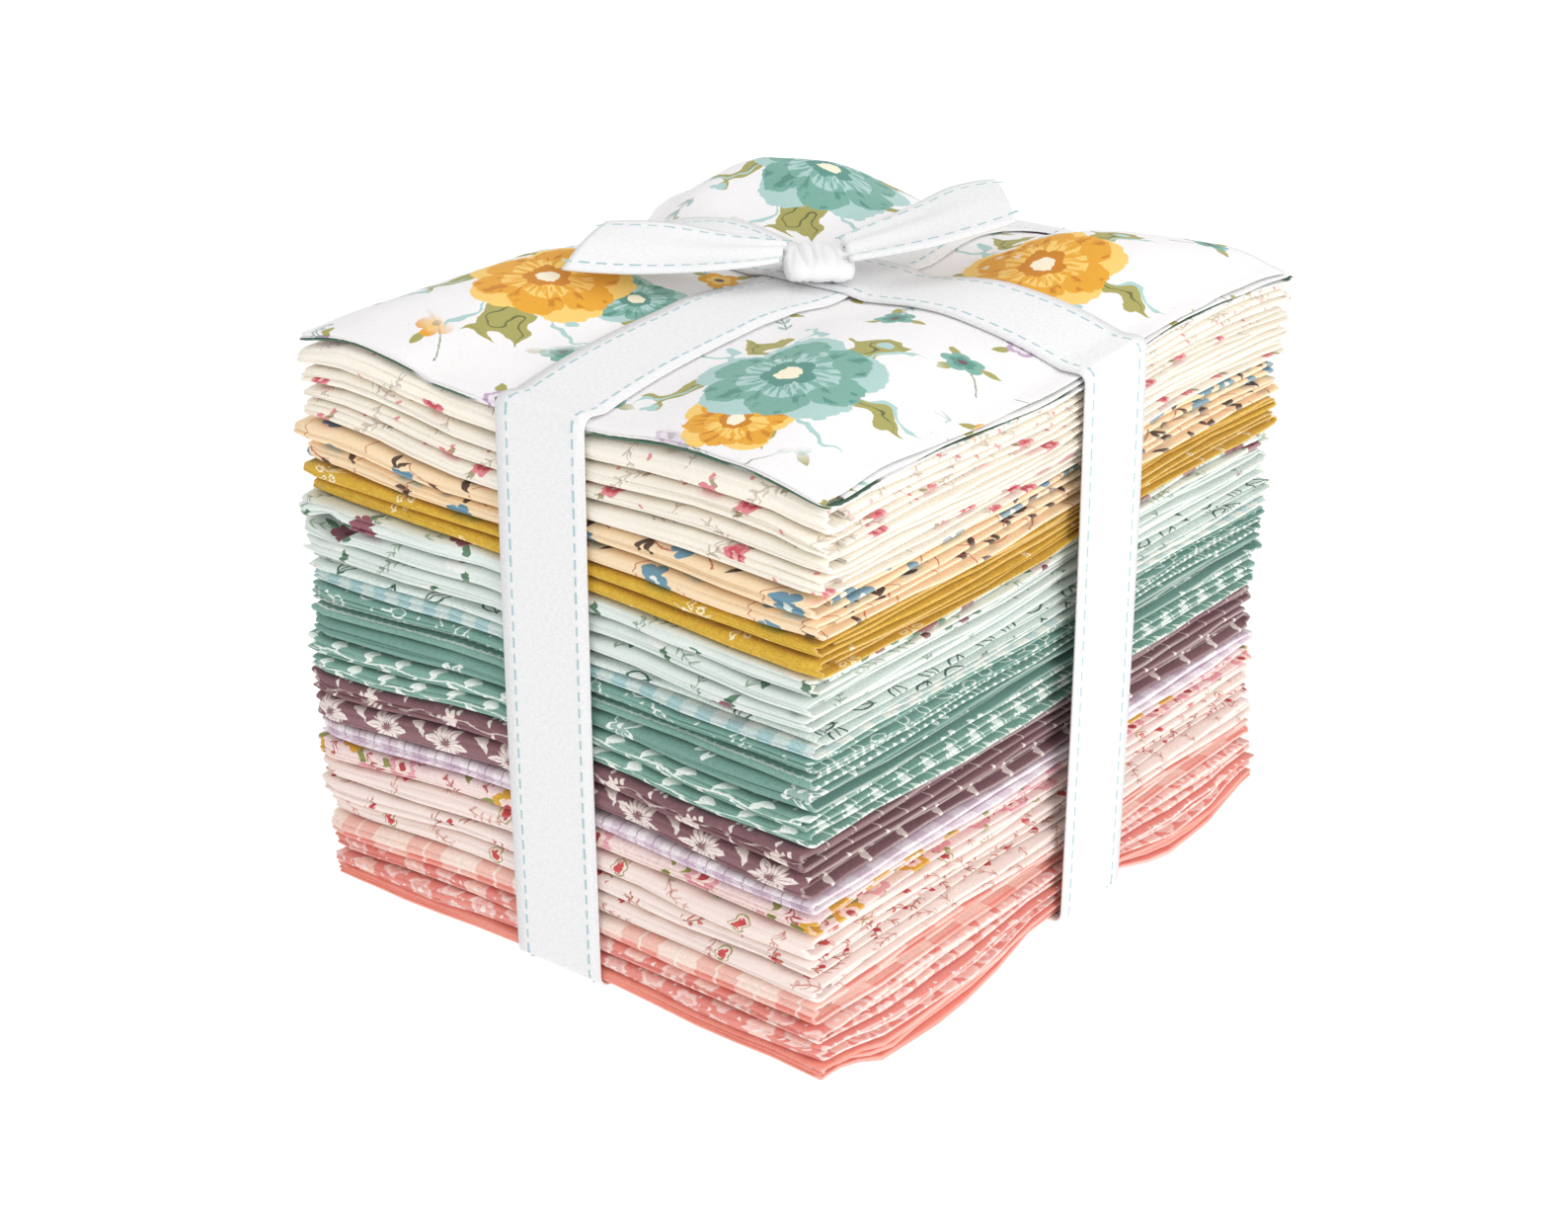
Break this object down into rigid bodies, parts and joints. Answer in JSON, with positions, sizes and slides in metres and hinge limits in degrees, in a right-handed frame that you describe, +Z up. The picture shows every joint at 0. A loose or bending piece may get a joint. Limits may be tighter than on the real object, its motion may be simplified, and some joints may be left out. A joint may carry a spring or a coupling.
{
  "type": "fat quarter bundle",
  "caption": "Stack of folded quilting cottons in soft prints, tied crosswise with a flat ribbon that ends in two short free ends.",
  "frame": {"origin": "middle of the stack's footprint, on the surface that the bundle rests on", "axes": "+Z up; Y runs along the folded cottons' long side, with the rounded fold ridges at -Y; +X is the side where the layer ends show in the picture"},
  "size_m": [0.1592, 0.1907, 0.165],
  "materials": {
    "salmon_plain": "plain salmon quilting cotton",
    "coral_blossom": "coral quilting cotton with small white flowers",
    "coral_plaid": "cream and coral woven check cotton",
    "pale_pink": "pale pink quilting cotton",
    "pale_pink_sprig": "pale pink cotton with small red sprigs",
    "pink_floral": "pale pink cotton with gold, red and green flowers",
    "lilac_gingham": "lilac gingham cotton",
    "plum_leaf": "plum cotton with large pale leaves",
    "plum_vine": "plum cotton with a fine vine",
    "teal_vine": "dark teal cotton with a vine of pale leaves",
    "teal_plain": "dark teal cotton with few white flowers",
    "teal_dots": "dark teal cotton with dotted lines",
    "teal_sprig": "dark teal cotton with white sprigs",
    "mint_gingham": "mint gingham cotton",
    "mint_dark_motif": "mint cotton with small dark motifs",
    "mint_floral": "mint cotton with small flowers",
    "mustard_sprig": "mustard cotton with white sprigs",
    "peach_blossom": "peach cotton with blue blossoms",
    "cream_sprig": "cream cotton with small red flowers and vines",
    "white_floral": "white cotton with large scattered flowers",
    "ribbon": "white woven ribbon with dashed pale teal stitch lines, satin"
  },
  "bodies": {
    "root": {"fat_quarter_01_salmon_plain": "salmon_plain", "fat_quarter_02_coral_blossom_a": "coral_blossom", "fat_quarter_03_coral_blossom_b": "coral_blossom", "fat_quarter_04_coral_plaid": "coral_plaid", "fat_quarter_05_pale_pink_a": "pale_pink", "fat_quarter_06_pale_pink_sprig": "pale_pink_sprig", "fat_quarter_07_pale_pink_b": "pale_pink", "fat_quarter_08_pink_floral": "pink_floral", "fat_quarter_09_lilac_gingham": "lilac_gingham", "fat_quarter_10_plum_leaf": "plum_leaf", "fat_quarter_11_plum_vine": "plum_vine", "fat_quarter_12_teal_vine_a": "teal_vine", "fat_quarter_13_teal_vine_b": "teal_vine", "fat_quarter_14_teal_plain": "teal_plain", "fat_quarter_15_teal_dots": "teal_dots", "fat_quarter_16_teal_sprig": "teal_sprig", "fat_quarter_17_mint_gingham": "mint_gingham", "fat_quarter_18_mint_dark_motif": "mint_dark_motif", "fat_quarter_19_mint_floral_a": "mint_floral", "fat_quarter_20_mint_floral_b": "mint_floral", "fat_quarter_21_mint_floral_c": "mint_floral", "fat_quarter_22_mustard_sprig_a": "mustard_sprig", "fat_quarter_23_mustard_sprig_b": "mustard_sprig", "fat_quarter_24_peach_blossom_a": "peach_blossom", "fat_quarter_25_peach_blossom_b": "peach_blossom", "fat_quarter_26_cream_sprig_a": "cream_sprig", "fat_quarter_27_cream_sprig_b": "cream_sprig", "fat_quarter_28_cream_sprig_c": "cream_sprig", "fat_quarter_29_cream_sprig_d": "cream_sprig", "fat_quarter_30_white_floral": "white_floral", "ribbon_long_band": "ribbon", "ribbon_short_band": "ribbon", "ribbon_knot": "ribbon", "ribbon_tail_left": "ribbon", "ribbon_tail_right": "ribbon"}
  },
  "joints": []
}
